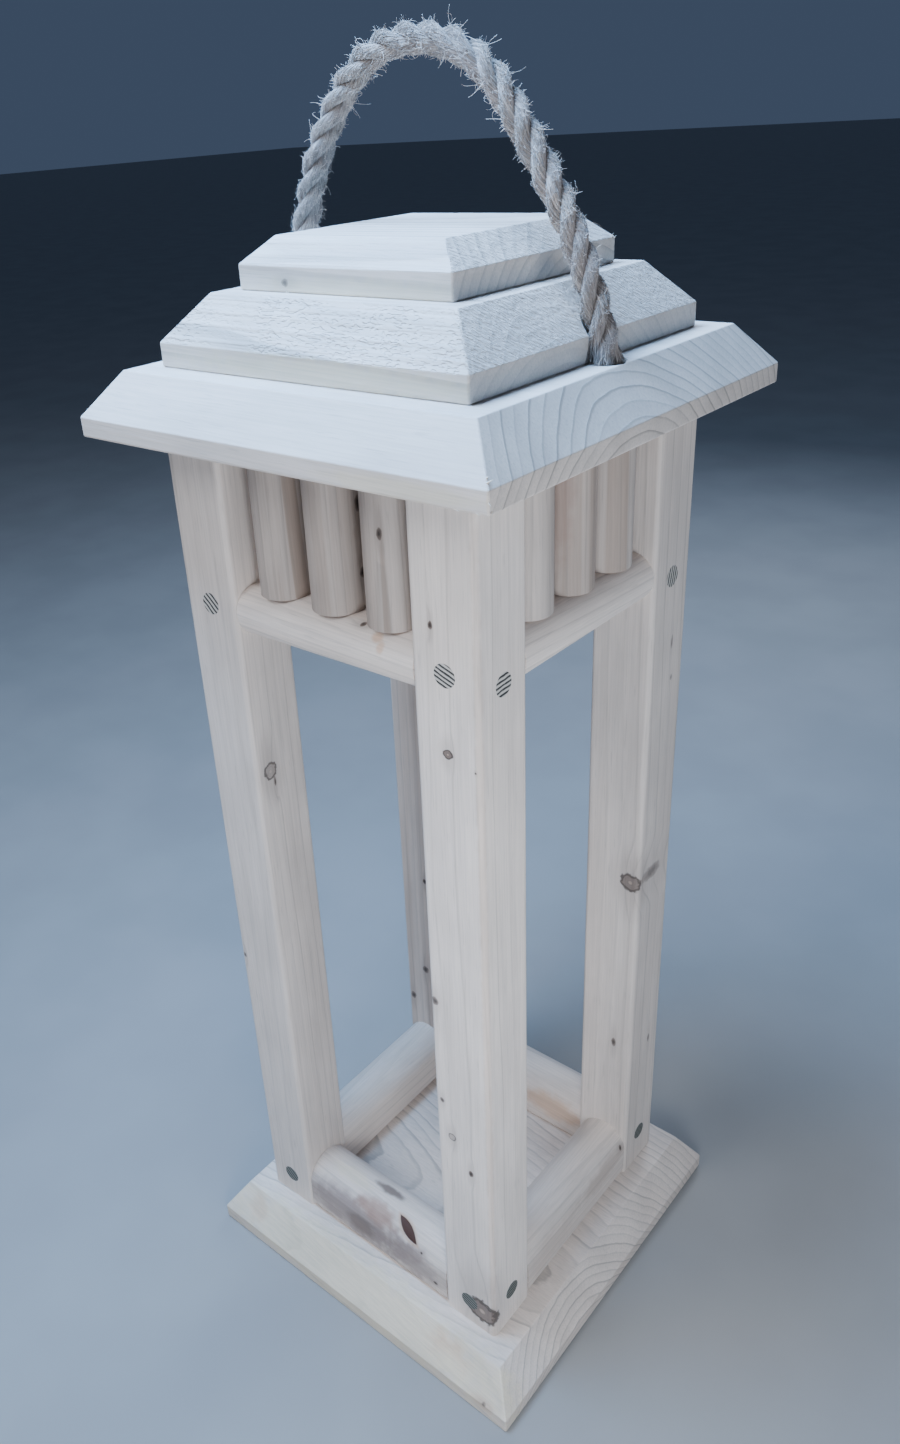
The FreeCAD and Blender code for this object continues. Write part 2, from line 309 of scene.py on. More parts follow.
def knot_group():
    """One knot: its body, its dark middle, its dark outline, and the wood it pushes aside."""
    inputs = {"Point": "Vector", "Centre": "Vector", "Size": "Vector", "Stretch": "Vector"}
    outputs = {"Core": "Float", "Middle": "Float", "Outline": "Float", "Pith": "Float", "Halo": "Float"}
    tree, graph, source, result = new_group("knot", inputs, outputs)
    away = graph.vector("SUBTRACT", source["Point"], source["Centre"])
    rough = graph.vector("SUBTRACT", graph.noise(source["Point"], 260, output="Color"), (0.5, 0.5, 0.5))
    scaled = graph.vector("DIVIDE", away, source["Size"])
    ragged = graph.vector("ADD", scaled, graph.vector("MULTIPLY", rough, (0.7, 0.7, 0.7)))
    distance = graph.vector("LENGTH", ragged)
    graph.feed(result["Core"], graph.step(distance, 0.80, 1.12, 1.0, 0.0))
    graph.feed(result["Middle"], graph.step(distance, 0.25, 0.85, 1.0, 0.0))
    edge = graph.step(distance, 0.60, 0.90)
    edge = graph.maths("MULTIPLY", edge, graph.step(distance, 0.92, 1.10, 1.0, 0.0))
    swirl = graph.maths("MULTIPLY", graph.maths("SINE", graph.maths("MULTIPLY", distance, 26.0)), 0.15)
    inside = graph.step(distance, 0.8, 1.0, 1.0, 0.0)
    graph.feed(result["Outline"], graph.maths("ADD", edge, graph.maths("MULTIPLY", swirl, inside)))
    graph.feed(result["Pith"], graph.step(graph.vector("LENGTH", scaled), 0.10, 0.24, 1.0, 0.0))
    wide = graph.vector("LENGTH", graph.vector("DIVIDE", scaled, source["Stretch"]))
    graph.feed(result["Halo"], graph.step(wide, 0.5, 1.9, 1.0, 0.0))
    return tree


GROWTH = growth_group()
KNOT = knot_group()

# How solid the body of each kind of knot is
KNOT_BODY = {"pin": 0.90, "eye": 0.90, "ring": 0.40}
KNOT_PUSH = 0.45                 # how far rings bend round a knot, as a share of its size
# Where a grain axis and its two cross axes are found in a point's X, Y, Z
GRAIN_AXES = {"x": (0, 1, 2), "y": (1, 0, 2), "z": (2, 0, 1)}


def log_position(graph, coordinates, axis, pith, tilt, squeeze):
    """A point's place in the log: along its pith, and across it two ways."""
    along, across, upward = (coordinates[i] for i in GRAIN_AXES[axis])
    first = graph.maths("SUBTRACT", across, pith[0])
    second = graph.maths("SUBTRACT", upward, pith[1])
    second = graph.maths("ADD", second, graph.maths("MULTIPLY", along, tilt))
    if squeeze != 1.0:
        right = graph.maths("MULTIPLY", graph.maths("MAXIMUM", first, 0.0), squeeze)
        first = graph.maths("ADD", right, graph.maths("MINIMUM", first, 0.0))
    return graph.join(along, first, second)


def place_knots(graph, point, knots, stretch):
    """The knots' masks, and how far they push the rings outwards."""
    bulge, masks = 0.0, []
    for centre, size, depth, kind in knots:
        inputs = {"Point": point, "Centre": centre, "Size": size, "Stretch": stretch}
        mask = graph.group(KNOT, inputs)
        bulge = graph.maths("ADD", bulge, graph.maths("MULTIPLY", mask["Halo"], KNOT_PUSH * max(size)))
        masks.append((mask, depth, kind))
    return masks, bulge


def colour_knots(graph, wood, masks):
    for mask, depth, kind in masks:
        layers = [("Halo", 0.24, KNOT_BROWN), ("Core", KNOT_BODY[kind], KNOT_BROWN)]
        if kind == "pin":
            layers += [("Middle", 0.90, KNOT_DARK)]
        else:
            layers += [("Outline", 0.80, KNOT_DARK), ("Pith", 0.60, PINKISH)]
        for layer, share, tint in layers:
            wood = graph.blend(graph.maths("MULTIPLY", mask[layer], share * depth), wood, tint)
    return wood


def split_depth(graph, point, start, end, width):
    """How far inside a split that tapers to both its ends a point is, in metres."""
    run = Vector(end) - Vector(start)
    from_start = graph.vector("SUBTRACT", point, start)
    share = graph.maths("DIVIDE", graph.vector("DOT_PRODUCT", from_start, tuple(run)), run.length_squared)
    travelled = graph.vector("MULTIPLY", graph.join(share, share, share), tuple(run))
    distance = graph.vector("LENGTH", graph.vector("SUBTRACT", from_start, travelled))
    centred = graph.maths("SUBTRACT", graph.maths("MULTIPLY", share, 2.0), 1.0)
    taper = graph.maths("SUBTRACT", 1.0, graph.maths("MULTIPLY", centred, centred))
    return graph.maths("SUBTRACT", graph.maths("MULTIPLY", taper, width), distance)


def pine(name, axis, pith, spacing, knots=(), stains=(), rings=(0.35, 0.85), tint=0.0, bands=0.0,
         tilt=0.03, waver=0.0016, figure=(9, 60, 60), squeeze=1.0, sharp=0.62,
         sawn=None, split=None, tone=1.0):
    """Planed pine.

    pith: the log's middle, on the two cross axes of the grain; tilt: its slope to the board.
    waver, figure: how far the rings wander, and how often along and across the grain.
    sharp: where in a ring its dark part starts, from 0 to 1.
    rings: contrast of the rings on long grain and on end grain.
    tint: share of pinkish wood; tone: brightness of the whole.
    bands: how much darker the heartwood bands are.
    split: (start, end, width) of a dark split in the face.
    sawn: depth of the bevels' saw marks, and the share of torn pits on the long ones.
    knots: (centre, size, depth of colour, kind).  stains: (centre, size, colour, share).
    """
    material, graph, shader = new_material(name)
    place = graph.add("ShaderNodeTexCoord").outputs
    point, normal = place["Object"], place["Normal"]
    facing = graph.split(normal)
    along = GRAIN_AXES[axis][0]
    log = log_position(graph, graph.split(point), axis, pith, tilt, squeeze)
    stretch = [1.3, 1.3, 1.3]
    stretch[along] = 3.0
    masks, bulge = place_knots(graph, point, knots, stretch)
    inputs = {"Log": log, "Spacing": spacing, "Bulge": bulge, "Waver": waver, "Figure": figure,
              "Sharp": sharp}
    growth = graph.group(GROWTH, inputs)

    end_grain = graph.maths("POWER", graph.maths("ABSOLUTE", facing[along]), 2.0)
    contrast = graph.step(end_grain, 0.05, 0.6, *rings)
    pinkness = graph.step(growth["Broad"], 0.35, 0.75, tint * 0.5, min(1.0, tint + 0.12))
    wood = graph.blend(pinkness, EARLYWOOD, PINKISH)
    if bands:
        wood = graph.blend(graph.maths("MULTIPLY", growth["Band"], bands), wood, HEARTWOOD)
    wood = graph.blend(graph.maths("MULTIPLY", growth["Late"], contrast), wood, LATEWOOD)
    wood = graph.blend(graph.maths("MULTIPLY", growth["Fleck"], 0.22), wood, LATEWOOD)
    for centre, size, stain_colour, share in stains:
        away = graph.vector("DIVIDE", graph.vector("SUBTRACT", point, centre), size)
        uneven = graph.maths("ADD", graph.vector("LENGTH", away), graph.noise(point, 120))
        wood = graph.blend(graph.step(uneven, 1.0, 1.75, share, 0.0), wood, stain_colour)
    wood = colour_knots(graph, wood, masks)
    height = graph.maths("ADD", graph.maths("MULTIPLY", growth["Fibre"], 0.25),
                         graph.maths("MULTIPLY", growth["Late"], 0.30))
    if split:
        depth = split_depth(graph, point, *split)
        wood = graph.blend(graph.step(depth, -0.0030, -0.0002, 0.0, 0.6), wood, ORANGE)
        wood = graph.blend(graph.step(depth, -0.0002, 0.0008, 0.0, 0.97), wood, SPLIT_RED)
        height = graph.maths("SUBTRACT", height, graph.step(depth, -0.0004, 0.0010, 0.0, 4.0))
    streak = graph.step(growth["Fibre"], 0.25, 0.75, 0.90 * tone, 1.05 * tone)
    cloud = graph.noise(graph.vector("MULTIPLY", log, (14, 40, 40)), detail=3.0)
    cloud = graph.step(cloud, 0.3, 0.7, 0.93, 1.05)
    streak = graph.maths("MULTIPLY", streak, cloud)
    wood = graph.blend(1.0, wood, graph.join(streak, streak, streak), "MULTIPLY")
    graph.feed(shader.inputs["Base Color"], wood)
    graph.feed(shader.inputs["Roughness"], graph.step(growth["Fibre"], 0.2, 0.8, 0.50, 0.68))
    shader.inputs["Specular IOR Level"].default_value = 0.35
    bump = graph.add("ShaderNodeBump", {"Strength": 0.6, "Distance": 0.0005, "Height": height})
    if sawn:
        depth, pits = sawn
        marks = saw_marks(graph, point, facing, along, pits)
        inputs = {"Strength": 1.0, "Distance": depth, "Height": marks, "Normal": bump.outputs[0]}
        bump = graph.add("ShaderNodeBump", inputs)
    graph.feed(shader.inputs["Normal"], bump.outputs[0])
    return material


def saw_marks(graph, point, facing, along, pits):
    """Ridges and torn pits on the long bevels, and slanting fuzz on the end-grain ones."""
    bevel = graph.step(facing[2], 0.3, 0.5)
    bevel = graph.maths("MULTIPLY", bevel, graph.step(facing[2], 0.93, 0.98, 1.0, 0.0))
    end = graph.step(graph.maths("ABSOLUTE", facing[along]), 0.2, 0.4)
    torn = graph.noise(graph.vector("MULTIPLY", point, (250, 640, 640)), detail=1.0, roughness=0.4)
    patchy = graph.step(graph.noise(point, 20), 0.30, 0.55, 0.0, pits)
    torn = graph.maths("MULTIPLY", graph.step(torn, 0.50, 0.66, 0.0, -1.0), patchy)
    ridges = graph.noise(graph.vector("MULTIPLY", point, (5, 260, 260)), detail=1.0)
    torn = graph.maths("ADD", torn, graph.step(ridges, 0.35, 0.65, 0.0, 0.8))
    slanted = graph.add("ShaderNodeMapping", {"Vector": point, "Rotation": (0.75, 0, 0)}).outputs[0]
    fuzz = graph.noise(graph.vector("MULTIPLY", slanted, (300, 160, 900)), detail=2.0)
    fuzz = graph.step(fuzz, 0.35, 0.68, 0.0, 0.75)
    shown = graph.add("ShaderNodeMix", {"Factor": end, 2: torn, 3: fuzz}, data_type="FLOAT").outputs[0]
    return graph.maths("MULTIPLY", bevel, shown)


def paint(node, material):
    for slot in NODES[node].material_slots:
        slot.material = material


# Planes of the posts' outer and inner faces, in millimetres
POST_FACES = (113, 69)
BOARD_EDGE = 140


def knot(x, y, z, width, height, depth=1.0, deep=4, kind="pin"):
    """A knot on a face that looks along X or Y: place and size in millimetres."""
    on_x = any(abs(abs(x) - face) < 1 for face in POST_FACES) or abs(x) > BOARD_EDGE
    size = (deep, width, height) if on_x else (width, deep, height)
    return tuple(v * MM for v in (x, y, z)), tuple(v * MM for v in size), depth, kind


def stain(x, y, z, size, stain_colour, share):
    return tuple(v * MM for v in (x, y, z)), tuple(v * MM for v in size), stain_colour, share


def paint_boards():
    """Base and three roof tiers: grain along X, pith below the board."""
    paint("base_board", pine(
        "pine_base", "x", (-0.050, -0.042), 0.0052, rings=(0.70, 0.75), tint=0.20, tilt=0.12, waver=0.0042,
        figure=(30, 46, 46), squeeze=0.88, sharp=0.66, knots=[knot(125.6, -145, 12.3, 2, 2, 0.5)],
        stains=[
            stain(0, -137, 22, (200, 22, 30), CREAM, 0.80), stain(86, -129, 22, (24, 14, 14), ORANGE, 0.60),
            stain(89, -133, 17, (18, 12, 11), CREAM, 0.95), stain(-112, -130, 22, (12, 14, 14), ORANGE, 0.40),
            stain(125, -145, 12, (10, 6, 6), ORANGE, 0.35)]))
    paint("roof_eaves", pine(
        "pine_eaves", "x", (-0.018, 0.606), 0.0068, rings=(0.10, 0.80), tilt=0.02, waver=0.0022, sharp=0.70,
        stains=[stain(95, -146, 675, (60, 3, 5), CREAM, 0.6)]))
    paint("roof_middle_tier", pine(
        "pine_middle", "x", (-0.030, 0.640), 0.0062, rings=(0.60, 0.22), sawn=(0.0006, 1.0), tone=0.97,
        sharp=0.5,
        stains=[stain(20, -110, 712, (130, 2.5, 9), CREAM, 0.7)]))
    paint("roof_cap_tier", pine(
        "pine_cap", "x", (0.045, 0.690), 0.0064, rings=(0.70, 0.40), sawn=(0.0006, 0.15), sharp=0.5,
        knots=[knot(-38.8, -74.5, 749.1, 2.6, 2.2, 0.6)],
        stains=[stain(20, -75, 746, (90, 2.5, 8), CREAM, 0.6)]))


# Each post's tone is partly its own paleness and partly painted light: the near front-right post is painted
# brighter where the light falls strongest, the other posts darker as painted shade, the back-left one darkest.
POSTS = {
    "front_right": dict(
        pith=(0.205, 0.015), spacing=0.0105, tint=0.0, tone=1.08, sharp=0.84,
        stains=[stain(112, -112, 350, (3, 3, 500), HEARTWOOD, 0.35)], knots=[
            knot(82.8, -113, 592.8, 1.6, 2.6), knot(91.3, -113, 518.9, 3.4, 3.0, 1.0, kind="eye"),
            knot(109.7, -113, 513.4, 0.7, 0.7), knot(73.1, -113, 335.7, 2.6, 3.4, 0.8),
            knot(74.9, -113, 251.6, 1.8, 2.2, 0.8), knot(81.9, -113, 222.0, 3.0, 3.2, 0.9, kind="ring"),
            knot(96.7, -113, 197.2, 1.9, 3.2), knot(102.3, -91, 300, 3, 5, 0.7),
            knot(102.3, -113, 58.5, 13.5, 11.5, 0.95, deep=9, kind="eye"),
        ]),
    "front_left": dict(
        pith=(-0.050, -0.190), spacing=0.0072, tint=0.10, tone=0.95, sharp=0.75, knots=[
            knot(-69, -101, 447.3, 5.4, 6.4, 0.95, kind="ring"), knot(-69, -98, 438, 1.0, 4.0, 0.8),
            knot(-109.2, -113, 281.0, 1.6, 2.4, 0.7),
            knot(-113, -95, 360, 3, 5, 0.8),
        ]),
    "back_right": dict(
        pith=(0.020, 0.000), spacing=0.0080, tint=0.15, tone=0.92, sharp=0.75, knots=[
            knot(106.0, 69, 331.0, 8.0, 7.5, 0.85, deep=7, kind="eye"), knot(113, 86, 334, 14, 6, 0.5, deep=6),
            knot(98.3, 69, 174.7, 2.0, 4.4, 0.8), knot(113, 97.3, 166.2, 1.6, 4.5, 0.6),
            knot(113, 95.8, 511.0, 1.3, 5.0, 0.5), knot(113, 97.6, 484.8, 1.5, 2.4, 0.4),
            knot(80, 113, 430, 4, 6, 0.8),
        ]),
    "back_left": dict(
        pith=(-0.210, 0.040), spacing=0.0078, tint=0.75, bands=0.35, tone=0.88, knots=[
            knot(-86.9, 69, 248.1, 2.0, 2.6), knot(-91.3, 69, 149.7, 3.4, 4.0, 0.8),
            knot(-107.3, 69, 112.2, 3.0, 4.0, 0.8), knot(-69, 47, 269, 3, 5, 0.7),
            knot(-69, 87, 180, 3, 4, 0.7), knot(-113, 85, 520, 4, 6, 0.8), knot(-96, 113, 240, 3, 4, 0.8),
        ]),
}


def paint_posts():
    for corner, looks in POSTS.items():
        paint("post_" + corner, pine("pine_post_" + corner, "z", rings=(0.32, 0.7), tilt=0.004, **looks))
        paint("plugs_" + corner, plug_material("plug_" + corner, *PLUG_GRAIN[corner]))


# Brightness of the bars. The top rails are painted brighter, a painted highlight for the light from above and
# in front that falls on them; the slats are painted darker, painted shade under the eaves, the front ones
# most; the bottom rails are a little darker.
TOP_RAIL_PAINTED_LIGHT = 1.14
BOTTOM_RAIL_TONE = 0.92
FRONT_SLAT_PAINTED_SHADE = 0.66
SLAT_PAINTED_SHADE = 0.76
RAIL_MARKS = {
    "bottom_rail_front": dict(
        stains=[
            stain(-22, -114, 62, (66, 11, 24), PURPLE_BROWN, 0.74),
            stain(-16, -112, 57, (15, 8, 11), KNOT_BROWN, 0.60),
            stain(-2, -107, 77, (22, 9, 10), REDDISH, 0.72),
            stain(-2, -90, 84, (16, 4, 3), KNOT_BROWN, 0.85),
            stain(36, -114, 58, (36, 9, 18), PURPLE_BROWN, 0.62),
            # The cream patch on the rail's top near its left end is a painted highlight.
            stain(-34, -97, 84, (20, 7, 4), CREAM, 0.5)],
        split=((0.0165, -0.1005, 0.0828), (0.0400, -0.1095, 0.0745), 0.0042),
        knots=[knot(58.3, -112.2, 50.7, 2.2, 1.6, 0.9), knot(45.0, -111, 72.0, 1.2, 1.0, 0.9)]),
    "bottom_rail_back": dict(stains=[stain(40, 74, 62, (34, 14, 13), ORANGE, 0.75)]),
    "bottom_rail_right": dict(
        knots=[((0.112, 0.064, 0.071), (0.004, 0.0016, 0.003), 0.9, "pin")],
        stains=[
            stain(112, 40, 66, (8, 40, 10), HEARTWOOD, 0.4),
            stain(112, -40, 60, (8, 40, 14), HEARTWOOD, 0.25)]),
    "top_rail_front": dict(
        knots=[((0.027, -0.1035, 0.5775), (0.0020, 0.0022, 0.003), 1.0, "pin")],
        stains=[
            stain(41, -108, 574, (4, 3, 4), ORANGE, 0.8),
            stain(45, -111, 570, (3, 3, 4), ORANGE, 0.7),
            stain(20, -96, 578, (26, 6, 4), PINKISH, 0.4)]),
}
SLAT_MARKS = {
    "slat_front_1": dict(tint=0.70, bands=0.75),
    "slat_front_2": dict(
        tint=0.45, bands=0.25,
        knots=[((0.0155, -0.088, 0.640), (0.003, 0.0030, 0.0045), 1.0, "pin"),
               ((0.0155, -0.088, 0.600), (0.003, 0.0025, 0.0035), 1.0, "pin")],
        stains=[stain(15.5, -88, 625, (6, 5, 28), HEARTWOOD, 0.5)]),
    "slat_front_3": dict(
        tint=0.65, bands=0.75, knots=[((0.0475, -0.107, 0.634), (0.0016, 0.004, 0.0036), 1.0, "pin")]),
    "slat_right_1": dict(tint=0.35, bands=0.65),
    "slat_right_2": dict(
        tint=0.50, bands=0.45, knots=[((0.088, -0.0155, 0.605), (0.0030, 0.003, 0.0045), 1.0, "pin")],
        stains=[stain(96, -13, 640, (9, 8, 50), REDDISH, 0.50)]),
    "slat_right_3": dict(tint=0.40, bands=0.70),
}


def paint_bars():
    """Rails and slats: each from its own length of timber."""
    for side, axis in (("front", "x"), ("back", "x"), ("left", "y"), ("right", "y")):
        for level in ("top_rail_", "bottom_rail_"):
            node = level + side
            low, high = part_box(node)
            middle = (low + high) / 2
            across = middle.y if axis == "x" else middle.x
            looks = {"tint": 0.25, "rings": (0.30, 0.6), **RAIL_MARKS.get(node, {})}
            # top rails painted brighter (painted light), slats further down painted darker (painted shade)
            tone = TOP_RAIL_PAINTED_LIGHT if level == "top_rail_" else BOTTOM_RAIL_TONE
            pith = (across * 1.35, middle.z - 0.055)
            paint(node, pine("pine_" + node, axis, pith, 0.0068, tone=tone, **looks))
        for number in (1, 2, 3):
            node = "slat_%s_%d" % (side, number)
            low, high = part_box(node)
            middle = (low + high) / 2
            pith = (middle.x * 1.1 + 0.034 * (number - 2.4), middle.y * 1.1 + 0.025 * (1.5 - number))
            looks = {"tint": 0.50, "bands": 0.45, "rings": (0.42, 0.6), **SLAT_MARKS.get(node, {})}
            # slats painted darker: painted shade under the eaves, darkest at the front
            tone = FRONT_SLAT_PAINTED_SHADE if side == "front" else SLAT_PAINTED_SHADE
            paint(node, pine("pine_" + node, "z", pith, 0.0058, tone=tone, **looks))


# How far the plugs' rings fall towards +X on a face that looks along Y, how far
# towards +Y on one that looks along X, and how upright they stand
PLUG_GRAIN = {
    "front_right": (0.37, -0.04, 1.0), "front_left": (0.60, 0.25, 0.65),
    "back_right": (0.687, -1.0, 0.25), "back_left": (-0.60, 0.50, 0.8),
}
PLUG_RING = 0.00275


def plug_material(name, fall_x, fall_y, upright):
    """End-grain plugs: pale wood crossed by straight dark rings."""
    material, graph, shader = new_material(name)
    point = graph.add("ShaderNodeTexCoord").outputs["Object"]
    low = graph.step(graph.split(point)[2], 0.30, 0.31, 1.0, 0.0)
    wander = graph.maths("MULTIPLY", graph.noise(point, 130), 0.0014)
    level = graph.maths("ADD", wander, graph.vector("DOT_PRODUCT", point, (fall_x, fall_y, upright)))
    share = graph.maths("FRACT", graph.maths("DIVIDE", level, PLUG_RING))
    line = graph.maths("MULTIPLY", graph.step(share, 0.28, 0.56), graph.step(share, 0.86, 0.98, 1.0, 0.0))
    speck = graph.noise(point, 900, detail=2.0)
    pale = graph.blend(low, colour(0.62, 0.58, 0.52), colour(0.20, 0.205, 0.18))
    dark = graph.blend(low, colour(0.040, 0.036, 0.033), colour(0.035, 0.037, 0.032))
    wood = graph.blend(graph.maths("MULTIPLY", line, graph.step(speck, 0.2, 0.5, 0.8, 1.0)), pale, dark)
    graph.feed(shader.inputs["Base Color"], wood)
    shader.inputs["Roughness"].default_value = 0.6
    shader.inputs["Specular IOR Level"].default_value = 0.3
    bump = graph.add("ShaderNodeBump", {"Strength": 0.5, "Distance": 0.0004, "Height": speck})
    graph.feed(shader.inputs["Normal"], bump.outputs[0])
    return material


def paint_screws():
    material, graph, shader = new_material("zinc_plate")
    point = graph.add("ShaderNodeTexCoord").outputs["Object"]
    mottle = graph.noise(point, 700, detail=3.0)
    plate = graph.blend(graph.step(mottle, 0.35, 0.65), colour(0.62, 0.60, 0.54), colour(0.42, 0.42, 0.41))
    graph.feed(shader.inputs["Base Color"], plate)
    graph.feed(shader.inputs["Roughness"], graph.step(mottle, 0.3, 0.7, 0.28, 0.48))
    shader.inputs["Metallic"].default_value = 1.0
    for node in NODES:
        if node.endswith("_screws"):
            paint(node, material)


# Torn slivers left on the boards' edges: root, and the way each one points, in mm
SPLINTERS = [
    ((143.2, -142.9, 684.3), (3.0, 0.6, 2.2)), ((142.0, -141.6, 686.0), (2.0, -1.4, 1.6)),
    ((144.8, -144.8, 676.5), (2.6, -1.6, -0.8)), ((145.3, -143.0, 672.0), (1.2, -2.4, -0.6)),
    ((138.0, -145.2, 671.0), (3.4, -0.6, -0.5)), ((127.0, -145.2, 670.6), (3.6, -0.5, -0.4)),
    ((-38.0, -74.3, 744.8), (1.0, -2.2, -1.6)), ((-36.5, -74.3, 744.6), (-0.8, -1.8, -1.2)),
    ((74.3, 70.0, 757.0), (0.8, 1.0, 3.4)), ((74.0, 72.5, 756.0), (1.2, 1.4, 2.4)),
    ((108.8, 34.0, 706.6), (2.4, 1.4, 0.6)), ((108.8, 31.0, 706.6), (1.8, 2.0, 1.8)),
    ((-108.5, -60.0, 706.8), (-2.0, -1.2, 0.4)), ((60.0, 109.0, 706.8), (1.4, 2.2, 0.5)),
]


def make_splinters():
    material, graph, shader = new_material("torn_pine")
    point = graph.add("ShaderNodeTexCoord").outputs["Object"]
    fibres = graph.noise(point, 1500, detail=2.0)
    graph.feed(shader.inputs["Base Color"], graph.blend(fibres, EARLYWOOD, CREAM))
    shader.inputs["Roughness"].default_value = 0.7
    slivers = Tubes()
    for root, way in SPLINTERS:
        start, way = np.array(root) * MM, np.array(way) * MM
        share = np.linspace(0, 1, 6)[:, None]
        sag = np.array([0, 0, -0.0004]) * share ** 2
        path = start - way * 0.25 + way * 1.25 * share + sag
        slivers.add(path[None], 0.00042 * (1.05 - share[:, 0]), 4, [0.5])
    piece = slivers.build("splinters", material)
    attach(piece, "lantern")


# ------------------------------------------------------------------ rope

def rope_material(name, brightness):
    """Jute: grey-tan fibres that run along each yarn."""
    material, graph, shader = new_material(name)
    grain = graph.add("ShaderNodeAttribute", attribute_name="grain").outputs["Vector"]
    shade = graph.add("ShaderNodeAttribute", attribute_name="shade").outputs["Fac"]
    fibres = graph.noise(grain, 1.0, detail=4.0, roughness=0.65)
    point = graph.add("ShaderNodeTexCoord").outputs["Object"]
    patches = graph.noise(point, 55, detail=2.0)
    tan = graph.blend(graph.step(fibres, 0.28, 0.72), colour(0.18, 0.150, 0.130), colour(0.62, 0.540, 0.485))
    tan = graph.blend(graph.step(patches, 0.35, 0.7, 0.0, 0.45), tan, colour(0.43, 0.36, 0.33))
    tone = graph.step(shade, 0.0, 1.0, 0.70 * brightness, 1.30 * brightness)
    # Painted shade: the rope is painted darker towards its feet, down to 0.55 of its brightness at the board.
    tone = graph.maths("MULTIPLY", tone, graph.step(graph.split(point)[2], 0.69, 0.78, 0.55, 1.0))
    graph.feed(shader.inputs["Base Color"], graph.blend(1.0, tan, graph.join(tone, tone, tone), "MULTIPLY"))
    shader.inputs["Roughness"].default_value = 0.85
    shader.inputs["Specular IOR Level"].default_value = 0.2
    shader.inputs["Sheen Weight"].default_value = 0.25
    bump = graph.add("ShaderNodeBump", {"Strength": 0.7, "Distance": 0.0003, "Height": fibres})
    graph.feed(shader.inputs["Normal"], bump.outputs[0])
    return material


def rope_line():
    """The rope's middle line, evenly spaced, read from the route's own spline."""
    curve = bpy.data.curves.new("rope_route", "CURVE")
    curve.dimensions = "3D"
    curve.resolution_u = 32
    spline = curve.splines.new("NURBS")
    spline.points.add(len(ROPE_ROUTE) - 1)
    for point, (x, z) in zip(spline.points, ROPE_ROUTE):
        point.co = (x, 0, z, 1)
    spline.order_u = 3
    spline.use_endpoint_u = True
    holder = bpy.data.objects.new("rope_route", curve)
    bpy.context.collection.objects.link(holder)
    mesh = bpy.data.meshes.new_from_object(holder)
    line = np.array([v.co for v in mesh.vertices], float)
    bpy.data.objects.remove(holder)
    bpy.data.meshes.remove(mesh)
    travelled = np.concatenate([[0], np.cumsum(np.linalg.norm(np.diff(line, axis=0), axis=1))])
    steps = np.linspace(0, travelled[-1], 440)
    return steps, np.stack([np.interp(steps, travelled, line[:, i]) for i in range(3)], axis=1)


class Rope:
    """Places on the rope: along it, round it, and out from its middle."""

    def __init__(self):
        self.steps, self.line = rope_line()
        self.length = self.steps[-1]
        tangent = unit(np.gradient(self.line, axis=0))
        side = np.broadcast_to((0.0, 1.0, 0.0), tangent.shape)
        self.frames = tangent, side, np.cross(tangent, side)
        self.uneven = rng.normal(0, 1, (STRANDS, 24))

    def at(self, along, values):
        return np.stack([np.interp(along, self.steps, values[:, i]) for i in range(3)], axis=-1)

    def axes(self, along):
        return [unit(self.at(along, f)) for f in self.frames]

    def spread(self, along):
        """The rope is wider where it goes into the board."""
        height = self.at(along, self.line)[..., 2] - EAVES_TOP
        return 1 + SPLAY * smoothstep(0.022, 0.0, height)

    def turn(self, along, strand):
        """A strand's angle round the rope, a little uneven."""
        knots = np.linspace(0, self.length, self.uneven.shape[1])
        drift = [np.interp(along, knots, self.uneven[i]) for i in range(STRANDS)]
        drift = np.select([np.equal(strand, i) for i in range(STRANDS)], drift)
        return 2 * np.pi * (along / ROPE_LAY + strand / STRANDS) + 0.10 * drift

    def on_strand(self, along, strand, angle, offset):
        """Points at an angle and an offset from the middle of a strand."""
        _, side, out = self.axes(along)
        turn = self.turn(along, strand)[..., None]
        angle, offset = angle[..., None], np.asarray(offset)[..., None]
        middle = STRAND_OFFSET * (np.cos(turn) * side + np.sin(turn) * out)
        around = np.cos(angle) * side + np.sin(angle) * out
        return self.at(along, self.line) + (middle + offset * around) * self.spread(along)[..., None]


def add_yarns(rope, tubes):
    along = rope.steps
    for strand in range(STRANDS):
        core = rope.on_strand(along, strand, along * 0, 0.0)
        tubes.add(core[None], 0.0033, 10, [0.25])
        for number in range(YARNS):
            angle = 2 * np.pi * (number / YARNS - along / YARN_LAY) + rng.uniform(-0.10, 0.10)
            bumps = np.interp(along, np.linspace(0, rope.length, 50), rng.normal(0, 1, 50))
            offset = YARN_OFFSET * (1 + 0.035 * bumps)
            radius = YARN_RADIUS * rng.uniform(0.85, 1.15) * (1 + 0.08 * np.roll(bumps, 9))
            tubes.add(rope.on_strand(along, strand, angle, offset)[None], radius, 6, [rng.uniform(0.1, 0.9)])


